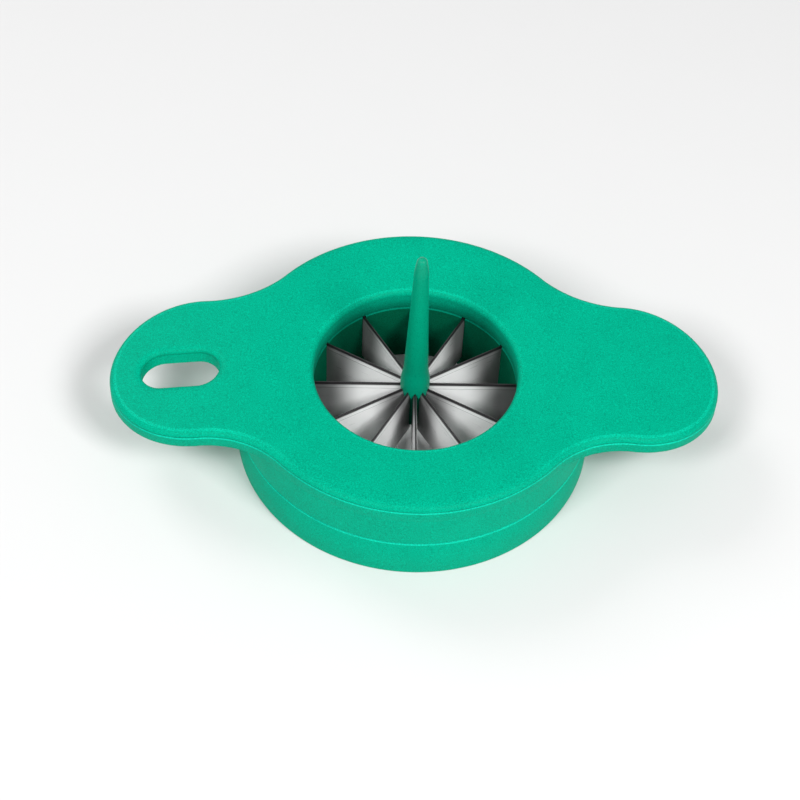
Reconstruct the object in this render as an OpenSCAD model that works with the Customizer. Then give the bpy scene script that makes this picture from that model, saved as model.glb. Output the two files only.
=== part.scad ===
// Scallion cutter: a palm sized cap with two finger lobes round a mouth of
// twelve upright steel blades, with a pointed guide standing in the middle.
// Millimetres. Origin: middle of the base's underside. +Z up, lobes along X,
// the lobe with the hanging slot at -X.

/* [Overall] */
// Length from lobe tip to lobe tip
handle_l = 75; // [68:1:90]
// Height from the base to the cover's top
body_h = 12.8; // [11:0.2:18]

/* [Lobes] */
// Width of a finger lobe
lobe_d = 21.8; // [18:0.2:26]
// Radius of the hollow curve between the middle and a lobe
neck_r = 12.7; // [8:0.1:20]
// How far a lobe's tip hangs below its root
droop = 2.45; // [0:0.05:4]
// Distance from the middle at which the top starts to fall
droop_from = 13; // [0:0.5:18]

/* [Top cover] */
// Height of the cover's top above the upper seam
cover_t = 0.75; // [0.6:0.05:2.5]
// Height of the straight lip under the cover's rounded edge
edge_lip = 0.05; // [0.05:0.05:0.5]
// Width over which the cover's edge is rounded
edge_w = 1; // [0.5:0.1:3]
// How far the top dips from its flat to the mouth's rim
dish = 0.65; // [0:0.05:1.5]
// Width of the ring round the mouth in which it dips
dish_w = 7.5; // [3:0.1:8]
// Diameter of the mouth
mouth_d = 25.1; // [22:0.1:28]
// Radius of the rounding round the mouth
rim_r = 0.7; // [0.4:0.1:2]
// Wall of the skirt that goes down round the mouth
skirt_t = 2.25; // [1.5:0.05:3]
// Width of the plug that fills the shell's hole round the skirt
plug_w = 4.2; // [1:0.1:5]

/* [Hanging slot] */
// Length of the slot
slot_l = 9.6; // [8:0.1:12]
// Width of the slot
slot_w = 5.5; // [4.5:0.1:7]
// Distance of the slot's centre from the lobe's, towards the tip
slot_out = 2.2; // [0.5:0.1:3]
// How far the slot lies towards the front of the lobe
slot_fore = 0.3; // [0:0.05:1]
// Radius of the rounding round the slot
slot_rim = 0.6; // [0.4:0.1:1.6]

/* [Lower shell] */
// Thickness of the shell's lobes, below the upper seam
under_t = 1.75; // [1.2:0.05:2.5]
// Rounding along the shell's lower edge
under_r = 0.3; // [0.1:0.05:0.6]
// Width of the hollow ring between the skirt and the collar's wall
hollow_w = 5.3; // [4:0.05:7]
// Wall of the round collar
collar_t = 2; // [1.5:0.1:2.5]
// How far the cover's round middle stands out past the collar
brow_w = 0.05; // [0.05:0.05:1]

/* [Base ring] */
// Height of the lower seam above the base
base_h = 5.85; // [4:0.05:8]
// Thickness of the base's floor
floor_t = 1.6; // [1:0.1:2.4]
// Wall of the spigot that stands inside the collar
spigot_t = 1.1; // [0.8:0.1:1.6]
// Height of the spigot above the lower seam
spigot_up = 2.2; // [1:0.1:3]
// Wall of the lip round the blade carrier
lip_t = 1; // [0.8:0.1:1.4]
// Height of that lip above the floor
lip_h = 1.8; // [1:0.1:3]
// Bevel round the bottom edge
foot_c = 0.2; // [0.1:0.05:0.8]

/* [Blades] */
// Number of blades
blade_n = 12; // [8:1:12]
// Thickness of a blade
blade_t = 0.4; // [0.3:0.05:0.5]
// Gap between the blades' lower edges and the base's floor
blade_lift = 0.15; // [0.05:0.05:0.5]
// Depth of the blades' cutting edges below the cover's top
blade_down = 3.65; // [3:0.05:6]
// Height of the bevel under a cutting edge
bevel_h = 0.8; // [0.4:0.1:1.2]
// Width left at the cutting edge
edge_t = 0.1; // [0.05:0.01:0.15]
// Length of a blade that is held in the carrier
blade_in = 1.45; // [1:0.05:1.6]

/* [Guide] */
// Height of the guide's tip above the cover's top
guide_up = 18.5; // [10:0.1:22]
// Radius of the guide's round tip
tip_r = 0.65; // [0.5:0.05:0.75]
// Height of the blunt point under the tip
point_h = 2.6; // [1:0.1:4]
// Radius of the guide where the blunt point starts
point_r = 0.9; // [0.8:0.05:1.1]
// Radius of the guide just above its bulb
guide_r = 1.5; // [1.2:0.02:1.7]
// Height of the flare from the guide down to its bulb
flare_h = 3; // [1:0.1:4]
// Radius of the bulb that covers the blades' inner ends
bulb_r = 1.82; // [1.7:0.01:2.2]
// Height of the bulb's straight middle
bulb_h = 0.5; // [0.3:0.1:0.8]
// Height of the bulb's lower slope
bulb_slope = 0.9; // [0.5:0.1:1.2]
// Radius of the column that grips the blades
column_r = 1.55; // [1.5:0.01:1.65]
// Radius of the column's solid core
core_r = 1.05; // [1.05:0.01:1.2]
// Height of the column's foot above the blades' lower edges
column_up = 1; // [0.5:0.1:2]

/* [Fits] */
// Gap left at the two seams
seam_gap = 0.06; // [0.03:0.01:0.15]
// Gap between walls that slide into each other
wall_fit = 0.1; // [0.05:0.01:0.2]
// Gap on each side of a blade in its carrier slot
slot_fit = 0.05; // [0.02:0.01:0.1]
// Gap on each side of a blade in the guide's column
grip_fit = 0.02; // [0.01:0.01:0.03]

/* [Hidden] */
two = function(k) str(k < 10 ? "0" : "", k);
$fn = 96;

// One overrun for every cut
over = 1;
// Counts of steps round a quarter of the outline and along each rounding
lobe_steps = 8;
neck_steps = 6;
disc_steps = 6;
edge_steps = 6;
rim_steps = 5;
field_steps = 4;
under_steps = 3;

// Radii from the mouth outwards: the skirt, the collar's bore, the collar and
// the cover's round middle, which is 44.3 mm across
mouth_r = mouth_d / 2;
skirt_r = mouth_r + skirt_t;
plug_r = skirt_r + plug_w;
bore_r = skirt_r + hollow_w;
collar_r = bore_r + collar_t;
disc_r = collar_r + brow_w;
lobe_r = lobe_d / 2;
lobe_x = handle_l / 2 - lobe_r;
slot_x = lobe_x + slot_out;

// Heights, all counted from the base's underside
seam_z = body_h - cover_t;
under_z = seam_z - under_t;
edge_z = body_h - blade_down;
blade_z = floor_t + blade_lift;
blade_h = edge_z - blade_z;
foot_z = blade_z + column_up;
guide_z = body_h + guide_up;

// Centre of the circle that hollows the neck: it touches the round middle
// and the lobe, each at neck_r from the other's edge
neck_x = (pow(disc_r + neck_r, 2) - pow(lobe_r + neck_r, 2) + pow(lobe_x, 2))
    / (2 * lobe_x);
neck_y = sqrt(pow(disc_r + neck_r, 2) - pow(neck_x, 2));
disc_a = atan2(neck_y, neck_x);
lobe_a = atan2(neck_y, neck_x - lobe_x);

// How far the top has fallen at a distance x from the middle
function fall(x) =
    droop * pow(max(0, abs(x) - droop_from) / (handle_l / 2 - droop_from), 2);
// Its slope at x, as an angle
function fall_a(x) =
    atan(2 * droop * max(0, abs(x) - droop_from) / pow(handle_l / 2 - droop_from, 2));

// How far it has dipped at a distance r from the mouth's axis
function dip(r) =
    dish * pow(max(0, 1 - max(0, r - mouth_r - rim_r) / dish_w), 1.5);

// A quarter of the outline, brought in by i, from the lobe's tip to the back
function quarter(i) = concat(
    [for (k = [0 : lobe_steps - 1]) let (t = lobe_a * k / lobe_steps)
        [lobe_x + (lobe_r - i) * cos(t), (lobe_r - i) * sin(t)]],
    [for (k = [0 : neck_steps - 1])
        let (t = 180 + lobe_a + (disc_a - lobe_a) * k / neck_steps)
        [neck_x + (neck_r + i) * cos(t), neck_y + (neck_r + i) * sin(t)]],
    [for (k = [0 : disc_steps]) let (t = disc_a + (90 - disc_a) * k / disc_steps)
        [(disc_r - i) * cos(t), (disc_r - i) * sin(t)]]);
// The whole outline from that quarter
function around(q) = let (n = len(q) - 1) concat(
    [for (k = [0 : n - 1]) q[k]],
    [for (k = [n : -1 : 1]) [-q[k][0], q[k][1]]],
    [for (k = [0 : n - 1]) [-q[k][0], -q[k][1]]],
    [for (k = [n : -1 : 1]) [q[k][0], -q[k][1]]]);
outer = around(quarter(0));
function inset(i) = around(quarter(i));
// A circle whose points lie in the same directions as the outline's
function circle_of(r) = [for (p = outer) r * p / norm(p)];
function between(a, b, t) = [for (k = [0 : len(a) - 1]) a[k] * (1 - t) + b[k] * t];
// A ring at height z that falls with the top, and one that stays level
function falling(ring, z) = [for (p = ring) [p[0], p[1], z - fall(p[0])]];
function dipping(ring, z) =
    [for (p = ring) [p[0], p[1], z - fall(p[0]) - dip(norm(p))]];
// A ring pushed out to the collar where it would lie inside it
function clear(ring) = [for (p = ring) p * max(1, collar_r / norm(p))];
function level(ring, z) = [for (p = ring) [p[0], p[1], z]];

// A closed ring shaped solid through a list of rings, the last joined to the first
module loft(rings) {
    m = len(rings);
    n = len(rings[0]);
    pts = [for (ring = rings) for (p = ring) p];
    tri = [for (i = [0 : m - 1]) for (j = [0 : n - 1])
        let (a = i * n + j, b = i * n + (j + 1) % n,
             c = ((i + 1) % m) * n + (j + 1) % n, d = ((i + 1) % m) * n + j)
        each [[a, c, b], [a, d, c]]];
    polyhedron(points = pts, faces = tri, convexity = 8);
}

// The slot's outline
module slot_shape(grow) {
    half = (slot_l - slot_w) / 2;
    for (s = [-1, 1]) translate([s * half, 0]) circle(r = slot_w / 2 + grow);
    square([2 * half, slot_w + 2 * grow], center = true);
}

// Everything the slot takes away, with its soft upper rim
module slot_cut() {
    half = (slot_l - slot_w) / 2;
    w = slot_w / 2;
    top = body_h - fall(slot_x);
    translate([-slot_x, -slot_fore, 0]) {
        translate([0, 0, under_z - fall(handle_l / 2) - over])
            linear_extrude(height = body_h - under_z + fall(handle_l / 2) + 2 * over)
                slot_shape(0);
        translate([0, 0, top]) rotate([0, -fall_a(slot_x), 0]) {
            for (s = [-1, 1]) translate([s * half, 0, 0])
                rotate_extrude() rim_profile(w);
            translate([-half, 0, 0]) rotate([90, 0, 90])
                linear_extrude(height = 2 * half) {
                    rim_profile(w);
                    mirror([1, 0]) rim_profile(w);
                }
        }
    }
}

// Half of the flare that rounds the slot's rim, w from its middle
module rim_profile(w) {
    difference() {
        translate([0, -slot_rim]) square([w + slot_rim, slot_rim + over]);
        translate([w + slot_rim, -slot_rim]) circle(r = slot_rim);
    }
}

module top_cover() {
    edge = [for (k = [0 : edge_steps]) let (t = 90 * k / edge_steps)
        falling(inset(edge_w * (1 - cos(t))),
            body_h - (cover_t - edge_lip) * (1 - sin(t)))];
    flat = inset(edge_w);
    lip = circle_of(mouth_r + rim_r);
    field = [for (k = [1 : field_steps - 1])
        dipping(between(flat, lip, k / field_steps), body_h)];
    rim = [for (k = [0 : rim_steps]) let (t = 90 * k / rim_steps)
        dipping(circle_of(mouth_r + rim_r * (1 - sin(t))), body_h - rim_r * (1 - cos(t)))];
    skirt = [level(circle_of(mouth_r), edge_z + seam_gap),
        level(circle_of(skirt_r), edge_z + seam_gap),
        level(circle_of(skirt_r), under_z), level(circle_of(plug_r), under_z),
        falling(circle_of(plug_r), seam_z)];
    below = [for (k = [1 : under_steps])
        falling(between(circle_of(plug_r), outer, k / under_steps), seam_z)];
    color("mediumseagreen") difference() {
        loft(concat(edge, field, rim, skirt, below));
        slot_cut();
    }
}

module handle_shell() {
    top = seam_z - seam_gap;
    hole_r = plug_r + wall_fit;
    edge = [falling(outer, top), falling(outer, under_z + under_r),
        falling(clear(inset(under_r * (1 - cos(45)))), under_z + under_r * (1 - sin(45))),
        falling(clear(inset(under_r)), under_z)];
    below = [for (k = [1 : under_steps])
        falling(between(clear(inset(under_r)), circle_of(collar_r), k / under_steps),
            under_z)];
    wall = [level(circle_of(collar_r), base_h), level(circle_of(bore_r), base_h),
        falling(circle_of(bore_r), under_z), falling(circle_of(hole_r), under_z)];
    field = [for (k = [0 : under_steps - 1])
        falling(between(circle_of(hole_r), outer, k / under_steps), top)];
    color("mediumseagreen") difference() {
        loft(concat(edge, below, wall, field));
        slot_cut();
    }
}

module base_ring() {
    wall_z = base_h - seam_gap;
    spigot_r = bore_r - wall_fit;
    lip_in = skirt_r + wall_fit;
    color("mediumseagreen") rotate_extrude()
        polygon([[mouth_r, 0], [collar_r - foot_c, 0], [collar_r, foot_c],
            [collar_r, wall_z], [spigot_r, wall_z], [spigot_r, base_h + spigot_up],
            [spigot_r - spigot_t, base_h + spigot_up], [spigot_r - spigot_t, floor_t],
            [lip_in + lip_t, floor_t], [lip_in + lip_t, floor_t + lip_h],
            [lip_in, floor_t + lip_h], [lip_in, floor_t], [mouth_r, floor_t]]);
}

module blade_carrier() {
    color("seagreen") difference() {
        rotate_extrude() translate([mouth_r, floor_t])
            square([skirt_t, edge_z - floor_t]);
        for (k = [0 : blade_n - 1]) rotate([0, 0, 360 * k / blade_n])
            translate([mouth_r - over, -blade_t / 2 - slot_fit, blade_z])
                cube([over + blade_in + slot_fit, blade_t + 2 * slot_fit, blade_h + over]);
    }
}

// The guide: column, bulb, tapering shaft and round tip, slit for the blades
module centre_guide() {
    flare_z = edge_z + bulb_h;
    shaft_z = flare_z + flare_h;
    tip_z = guide_z - tip_r;
    point_z = tip_z - point_h;
    color("mediumseagreen") difference() {
        union() {
            translate([0, 0, foot_z]) cylinder(r = column_r, h = flare_z - foot_z);
            translate([0, 0, edge_z - bulb_slope])
                cylinder(r1 = column_r, r2 = bulb_r, h = bulb_slope);
            translate([0, 0, edge_z]) cylinder(r = bulb_r, h = bulb_h);
            translate([0, 0, flare_z]) cylinder(r1 = bulb_r, r2 = guide_r, h = flare_h);
            translate([0, 0, shaft_z])
                cylinder(r1 = guide_r, r2 = point_r, h = point_z - shaft_z);
            translate([0, 0, point_z]) cylinder(r1 = point_r, r2 = tip_r, h = point_h);
            translate([0, 0, tip_z]) sphere(r = tip_r);
        }
        for (k = [0 : blade_n - 1]) rotate([0, 0, 360 * k / blade_n])
            translate([core_r, -blade_t / 2 - grip_fit, foot_z - over])
                cube([bulb_r, blade_t + 2 * grip_fit, edge_z + grip_fit - foot_z + over]);
    }
}

// Blade k, an upright plate with its edge bevelled on both sides
module blade(k) {
    inner = core_r + slot_fit;
    half = blade_t / 2;
    color("silver") rotate([0, 0, 360 * (k - 1) / blade_n])
        translate([inner, 0, blade_z]) rotate([90, 0, 90])
            linear_extrude(height = mouth_r + blade_in - inner)
                polygon([[-half, 0], [half, 0], [half, blade_h - bevel_h],
                    [edge_t / 2, blade_h], [-edge_t / 2, blade_h],
                    [-half, blade_h - bevel_h]]);
}

top_cover();
handle_shell();
base_ring();
blade_carrier();
centre_guide();
for (k = [1 : blade_n])
    blade(k);
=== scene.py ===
"""Scallion cutter: a palm sized green cap with two finger lobes, twelve upright
steel blades in a round mouth and a pointed guide, dressed over its solids."""
import math

import bmesh
import bpy
from bpy.props import FloatProperty, FloatVectorProperty, IntProperty, PointerProperty
from mathutils import Matrix, Vector


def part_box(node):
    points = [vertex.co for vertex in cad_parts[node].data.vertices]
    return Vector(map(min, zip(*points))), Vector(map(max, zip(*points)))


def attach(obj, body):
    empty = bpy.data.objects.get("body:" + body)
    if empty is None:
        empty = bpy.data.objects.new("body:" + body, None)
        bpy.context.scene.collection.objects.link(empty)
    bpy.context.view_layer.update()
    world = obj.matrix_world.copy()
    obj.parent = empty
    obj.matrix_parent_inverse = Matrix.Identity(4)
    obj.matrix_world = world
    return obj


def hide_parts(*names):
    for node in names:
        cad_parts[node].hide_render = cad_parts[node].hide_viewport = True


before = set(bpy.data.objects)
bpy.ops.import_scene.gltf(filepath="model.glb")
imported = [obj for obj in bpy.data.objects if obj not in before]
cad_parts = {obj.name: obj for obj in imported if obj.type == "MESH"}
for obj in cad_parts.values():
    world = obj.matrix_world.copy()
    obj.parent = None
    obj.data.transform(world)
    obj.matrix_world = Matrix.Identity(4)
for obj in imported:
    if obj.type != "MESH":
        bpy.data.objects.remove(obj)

bl_info = {
    "name": "Scallion Cutter",
    "version": (1, 0, 0),
    "blender": (4, 5, 0),
    "location": "View3D > Sidebar > Cutter",
    "description": "Builds the looks of a scallion cutter over its solids",
    "category": "Object",
}

MM = 0.001
COVER_LOW, COVER_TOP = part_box("top_cover")
BASE_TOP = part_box("base_ring")[1]
CARRIER_LOW, CARRIER_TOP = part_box("blade_carrier")
GUIDE_LOW, GUIDE_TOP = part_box("centre_guide")
BLADE_LOW, BLADE_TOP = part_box("blade_01")

# Steps of the round forms
ROUND_STEPS = 240
LOBE_STEPS, NECK_STEPS, DISC_STEPS = 30, 16, 26
SLOT_STEPS = 28
EDGE_STEPS, RIM_STEPS, SLOT_RIM_STEPS = 12, 10, 12
TIP_STEP, TIP_END = 9, 72
POINT_STEPS, SHAFT_STEPS, FLARE_STEPS, FINGER_STEPS = 6, 8, 8, 4
STEPS_PER_BLADE = 8

# Lines ruled on flat sheets: how far apart, and how far off their place, in shares
TOP_GRID, SEAM_GRID, UNDER_GRID = 0.9 * MM, 2 * MM, 1.2 * MM
OFF_PLACE = 0.37

# Points nearer than this are one
NEAR, NEAR_WIRE = 1e-7, 1e-6

# Where a softened corner's points lie, in shares of its width
CORNER = 0.3
FOOT_CORNER = ((0.62, 0.07), (0.29, 0.29), (0.07, 0.62))
GROOVE_IN, GROOVE_DOWN = 0.55, 0.15
COLLAR_IN = 0.4
PAST_CORNER = 1.1

# How far a cutter reaches past what it cuts
OVERCUT = 1 * MM

# The photograph's width, and how far right of and below its middle the aim lies, in
# its pixels
PHOTO_W = 800
AIM_RIGHT, AIM_BELOW = 14.63, -11.11

# Angles past which an edge is shown sharp
CREASE = math.radians(31)
BLADE_CREASE = math.radians(8)


def length(name, text, value):
    """A length that a user may change, in metres."""
    return FloatProperty(name=name, description=text, default=value, min=0.0,
                         precision=5, subtype="DISTANCE", unit="LENGTH")


def angle(name, text, degrees):
    """An angle that a user may change."""
    return FloatProperty(name=name, description=text, default=math.radians(degrees),
                         subtype="ANGLE", unit="ROTATION")


def share(name, text, value):
    """A share of the picture's width."""
    return FloatProperty(name=name, description=text, default=value, subtype="FACTOR")


def paint(name, text, value):
    """A colour that a user may change."""
    return FloatVectorProperty(name=name, description=text, default=value, size=3,
                               min=0.0, max=1.0, subtype="COLOR")


class CUTTER_PG_outline(bpy.types.PropertyGroup):
    """The outline that the cover and the shell share, and how their lobes droop."""
    handle_l: length("Length", "Length from lobe tip to lobe tip", COVER_TOP.x - COVER_LOW.x)
    disc_r: length("Middle radius", "Radius of the round middle", COVER_TOP.y)
    lobe_r: length("Lobe radius", "Radius of a finger lobe", 10.9 * MM)
    neck_r: length("Neck radius", "Radius of the hollow curve beside a lobe", 12.7 * MM)
    droop: length("Droop", "How far a lobe's tip hangs down", 2.45 * MM)
    droop_from: length("Droop start", "Distance from the middle where the droop starts", 13 * MM)
    slot_l: length("Slot length", "Length of the hanging slot", 9.6 * MM)
    slot_w: length("Slot width", "Width of the hanging slot", 5.5 * MM)
    slot_x: length("Slot place", "Distance of the slot from the middle", 28.8 * MM)
    slot_fore: length("Slot fore", "How far the slot lies to the front", 0.3 * MM)
    slot_rim: length("Slot rim", "Width of the rounding round the slot", 0.95 * MM)


class CUTTER_PG_cover(bpy.types.PropertyGroup):
    """The cover's edge, its rim and its skirt, and the shell and base under it."""
    body_h: length("Body height", "Height of the top above the base", COVER_TOP.z)
    seam_z: length("Upper seam", "Height of the seam under the cover", 12.05 * MM)
    edge_lip: length("Edge lip", "Height of the straight lip under the rounded edge", 0.05 * MM)
    edge_w: length("Edge width", "Width over which the cover's edge is rounded", 1 * MM)
    dish: length("Dish", "How far the top dips to the mouth's rim", 0.65 * MM)
    dish_w: length("Dish width", "Width of the ring that dips", 7.5 * MM)
    rim_r: length("Mouth rim", "Rounding round the mouth", 0.7 * MM)
    mouth_r: length("Mouth radius", "Radius of the mouth", 12.55 * MM)
    plug_w: length("Plug", "Width of the plug round the skirt", 4.2 * MM)
    skirt_r: length("Skirt radius", "Outer radius of the skirt round the mouth", CARRIER_TOP.y)
    under_t: length("Flange", "Thickness of the shell's lobes", 1.75 * MM)
    under_r: length("Flange edge", "Rounding of the shell's lower edge", 0.3 * MM)
    collar_r: length("Collar radius", "Outer radius of the round collar", BASE_TOP.y)
    collar_t: length("Collar wall", "Wall of the round collar", 2 * MM)
    base_h: length("Lower seam", "Height of the seam above the base ring", 5.85 * MM)
    seam_gap: length("Seam gap", "Gap left at the two seams", 0.06 * MM)
    seam_soft: length("Seam edge", "Softening of the edges beside a seam", 0.18 * MM)
    wall_fit: length("Wall fit", "Gap between walls that slide together", 0.1 * MM)
    floor_t: length("Floor", "Thickness of the base's floor", CARRIER_LOW.z)
    foot_c: length("Foot edge", "Softening round the bottom edge", 0.2 * MM)
    lip_t: length("Inner lip", "Wall of the lip round the blade carrier", 1 * MM)
    lip_h: length("Inner lip height", "Height of that lip above the floor", 1.8 * MM)
    spigot_t: length("Spigot", "Wall of the spigot inside the collar", 1.1 * MM)


class CUTTER_PG_blades(bpy.types.PropertyGroup):
    """The blades and the guide that grips them."""
    blade_n: IntProperty(name="Blades", description="Number of blades", default=12, min=3)
    blade_t: length("Blade thickness", "Thickness of a blade", 0.4 * MM)
    blade_in: length("Blade start", "Radius where a blade starts", BLADE_LOW.x)
    blade_out: length("Blade end", "Radius where a blade ends", BLADE_TOP.x)
    blade_low: length("Blade foot", "Height of a blade's lower edge", BLADE_LOW.z)
    edge_z: length("Cutting edge", "Height of the cutting edges", BLADE_TOP.z)
    bevel_h: length("Bevel", "Height of the bevel under a cutting edge", 0.8 * MM)
    edge_t: length("Edge width", "Width left at a cutting edge", 0.1 * MM)
    slot_fit: length("Slot fit", "Gap beside a blade in the carrier", 0.05 * MM)
    grip_fit: length("Grip fit", "Gap beside a blade in the column", 0.02 * MM)
    tip_r: length("Tip radius", "Radius of the guide's round tip", 0.65 * MM)
    point_h: length("Point height", "Height of the blunt point", 2.6 * MM)
    point_r: length("Point radius", "Radius where the point starts", 0.9 * MM)
    guide_r: length("Guide radius", "Radius above the flare", 1.5 * MM)
    flare_h: length("Flare height", "Height of the flare above the bulb", 3 * MM)
    bulb_r: length("Bulb radius", "Radius of the bulb over the blades", GUIDE_TOP.x)
    bulb_h: length("Bulb height", "Height of the bulb's straight middle", 0.5 * MM)
    bulb_gap: length("Bulb gap", "Gap between the bulb and the cutting edges", 0.1 * MM)
    finger_h: length("Finger height", "Length of the pointed fingers under the bulb", 1.25 * MM)
    finger_in: length("Finger taper", "How far a finger's point lies inside the bulb", 0.04 * MM)
    column_r: length("Column radius", "Radius of the column that grips the blades", 1.55 * MM)
    column_c: length("Column edge", "Softening of the column's lower edge", 0.06 * MM)
    column_up: length("Column rise", "How far the column rises into the bulb", 0.2 * MM)
    core_r: length("Core radius", "Radius of the column's solid core", 1.05 * MM)


class CUTTER_PG_finish(bpy.types.PropertyGroup):
    """Colours, painted light and shade, and grain."""
    green: paint("Green", "Colour of the moulded plastic", (0.0, 0.370, 0.223))
    guide_green: paint("Guide green", "Colour of the guide", (0.0, 0.305, 0.177))
    # Painted shade: the near-black green of the carrier, the mouth's floor and the wall's foot
    # inside the mouth
    mouth_shade_green: paint("Inner green", "Colour of the carrier inside the mouth", (0.0, 0.085, 0.042))
    # Painted shade: a darker green on the wall round the mouth
    wall: paint("Wall", "Colour of the wall round the mouth", (0.0, 0.340, 0.205))
    # Painted shade in the seams and on the column under the bulb
    painted_shade: paint("Groove", "Colour in the shade of a seam or the bulb", (0.0, 0.070, 0.038))
    # Painted highlight: the lighter green on the edges just under the seams
    lip: paint("Lip", "Colour of the lit edge under a seam", (0.004, 0.560, 0.370))
    # Painted highlight: the lighter green on the lobes' edge and on the mouth's rim
    edge: paint("Edge", "Colour of the lobes' rubbed edge", (0.001, 0.445, 0.275))
    # Painted line: shade on the lowest row of the cover's edge, a highlight on the carrier's top
    # inner edge
    shade_and_highlight_line: paint("Parting line", "Colour of the line inside the mouth", (0.0, 0.215, 0.130))
    # Painted reflections: the blades' bright and dark tones
    steel_reflection_light: paint("Steel light", "Bright tone of the blades", (1.0, 1.0, 1.0))
    steel_reflection_dark: paint("Steel dark", "Dark tone of the blades", (0.014, 0.011, 0.013))
    floor: paint("Floor", "Colour of the plain floor", (0.76, 0.76, 0.76))
    grain: length("Grain", "Width of one speck of the moulded grain", 0.13 * MM)


class CUTTER_PG_view(bpy.types.PropertyGroup):
    """Where the camera stands."""
    lift: angle("Elevation", "Angle above the floor", 50.36)
    roll: angle("Roll", "Turn about the line of sight", 2.96)
    turn: angle("Turn", "Turn round the cutter", -2.76)
    away: length("Distance", "Distance from the aim", 243.89 * MM)
    aim_z: length("Aim", "Height of the aim above the base", 8 * MM)
    lens: FloatProperty(name="Lens", description="Focal length on a 36 mm sensor",
                        default=88.513, unit="CAMERA")
    right: share("Right", "How far the aim lies right of the middle", AIM_RIGHT / PHOTO_W)
    below: share("Below", "How far the aim lies below the middle", AIM_BELOW / PHOTO_W)


def sizes(name):
    """One of the groups of sizes on the scene."""
    return getattr(bpy.context.scene, "cutter_" + name)


# Shapes that the cover and the shell share

class Plan:
    """The outline's arcs, worked out once from the sizes."""

    def __init__(self):
        s = sizes("outline")
        self.s = s
        self.lobe_x = s.handle_l / 2 - s.lobe_r
        far, near = s.disc_r + s.neck_r, s.lobe_r + s.neck_r
        self.neck_x = (far ** 2 - near ** 2 + self.lobe_x ** 2) / (2 * self.lobe_x)
        self.neck_y = math.sqrt(far ** 2 - self.neck_x ** 2)
        self.disc_a = math.atan2(self.neck_y, self.neck_x)
        self.lobe_a = math.atan2(self.neck_y, self.neck_x - self.lobe_x)

    def inward(self, co):
        """The way in from the outline at co, and how far in co lies."""
        x, y = abs(co.x), abs(co.y)
        if math.atan2(y, x) >= self.disc_a:
            middle_x, middle_y, radius, side = 0, 0, self.s.disc_r, 1
        elif math.atan2(y, x - self.lobe_x) <= self.lobe_a:
            middle_x, middle_y, radius, side = self.lobe_x, 0, self.s.lobe_r, 1
        else:
            middle_x, middle_y, radius, side = self.neck_x, self.neck_y, self.s.neck_r, -1
        away = Vector((x - middle_x, y - middle_y))
        way, depth = away.normalized() * -side, side * (radius - away.length)
        return Vector((-way.x if co.x < 0 else way.x, -way.y if co.y < 0 else way.y)), depth

    def fall(self, x):
        """How far the lobes have drooped at x."""
        s = self.s
        out = max(0.0, abs(x) - s.droop_from) / (s.handle_l / 2 - s.droop_from)
        return s.droop * out * out


def arc(bm, start, centre, sweep, steps):
    """Spins a vertex into an arc and returns its last vertex."""
    made = bmesh.ops.spin(bm, geom=[start], cent=centre, axis=(0, 0, 1), angle=sweep,
                          steps=steps, use_duplicate=False)
    return [g for g in made["geom_last"] if isinstance(g, bmesh.types.BMVert)][0]


def outline_wire(bm, plan, inset):
    """The outline as a closed wire at height nought, brought in by inset."""
    before = set(bm.verts)
    tip = bm.verts.new((plan.s.handle_l / 2 - inset, 0, 0))
    v = arc(bm, tip, (plan.lobe_x, 0, 0), plan.lobe_a, LOBE_STEPS)
    v = arc(bm, v, (plan.neck_x, plan.neck_y, 0), plan.disc_a - plan.lobe_a, NECK_STEPS)
    arc(bm, v, (0, 0, 0), math.pi / 2 - plan.disc_a, DISC_STEPS)
    for axis in "XY":
        new = [v for v in bm.verts if v not in before]
        bmesh.ops.mirror(bm, geom=new + loose_edges(bm, before), matrix=Matrix.Identity(4),
                         merge_dist=NEAR, axis=axis)
    new = [v for v in bm.verts if v not in before]
    bmesh.ops.remove_doubles(bm, verts=new, dist=NEAR_WIRE)
    return loose_edges(bm, before)


def loose_edges(bm, before):
    """The edges of vertices that aren't in before."""
    return list({e for v in bm.verts if v not in before for e in v.link_edges})


def circle_wire(bm, radius):
    """A closed circle at height nought."""
    made = bmesh.ops.create_circle(bm, cap_ends=False, segments=ROUND_STEPS, radius=radius)
    return list({e for v in made["verts"] for e in v.link_edges})


def slot_wire(bm, plan, grow):
    """The slot's outline as a closed wire at height nought, grown by grow."""
    s = plan.s
    before = set(bm.verts)
    half, w = (s.slot_l - s.slot_w) / 2, s.slot_w / 2 + grow
    a = bm.verts.new((-s.slot_x + half, -s.slot_fore - w, 0))
    b = arc(bm, a, (-s.slot_x + half, -s.slot_fore, 0), math.pi, SLOT_STEPS)
    c = bm.verts.new((-s.slot_x - half, -s.slot_fore + w, 0))
    bm.edges.new((b, c))
    d = arc(bm, c, (-s.slot_x - half, -s.slot_fore, 0), math.pi, SLOT_STEPS)
    bm.edges.new((d, a))
    return loose_edges(bm, before)


def fill(bm, edges, spacing):
    """Fills the wires, holes left open, and rules the sheet with straight lines."""
    made = bmesh.ops.triangle_fill(bm, use_beauty=True, use_dissolve=False,
                                   normal=(0, 0, 1), edges=edges)
    faces = [g for g in made["geom"] if isinstance(g, bmesh.types.BMFace)]
    corners = [v.co.copy() for f in faces for v in f.verts]
    for axis, step in enumerate(spacing):
        if not step:
            continue
        low = min(co[axis] for co in corners)
        span = max(co[axis] for co in corners) - low
        count = int(span / step)
        for k in range(1, count + 1):
            place, way = [0, 0, 0], [0, 0, 0]
            place[axis], way[axis] = low + span * (k - OFF_PLACE) / count, 1
            geom = list({g for f in faces for g in (*f.verts, *f.edges)}) + faces
            cut = bmesh.ops.bisect_plane(bm, geom=geom, dist=NEAR, plane_co=place, plane_no=way)
            faces = list({g for g in cut["geom"] if isinstance(g, bmesh.types.BMFace)})
    return faces


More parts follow.
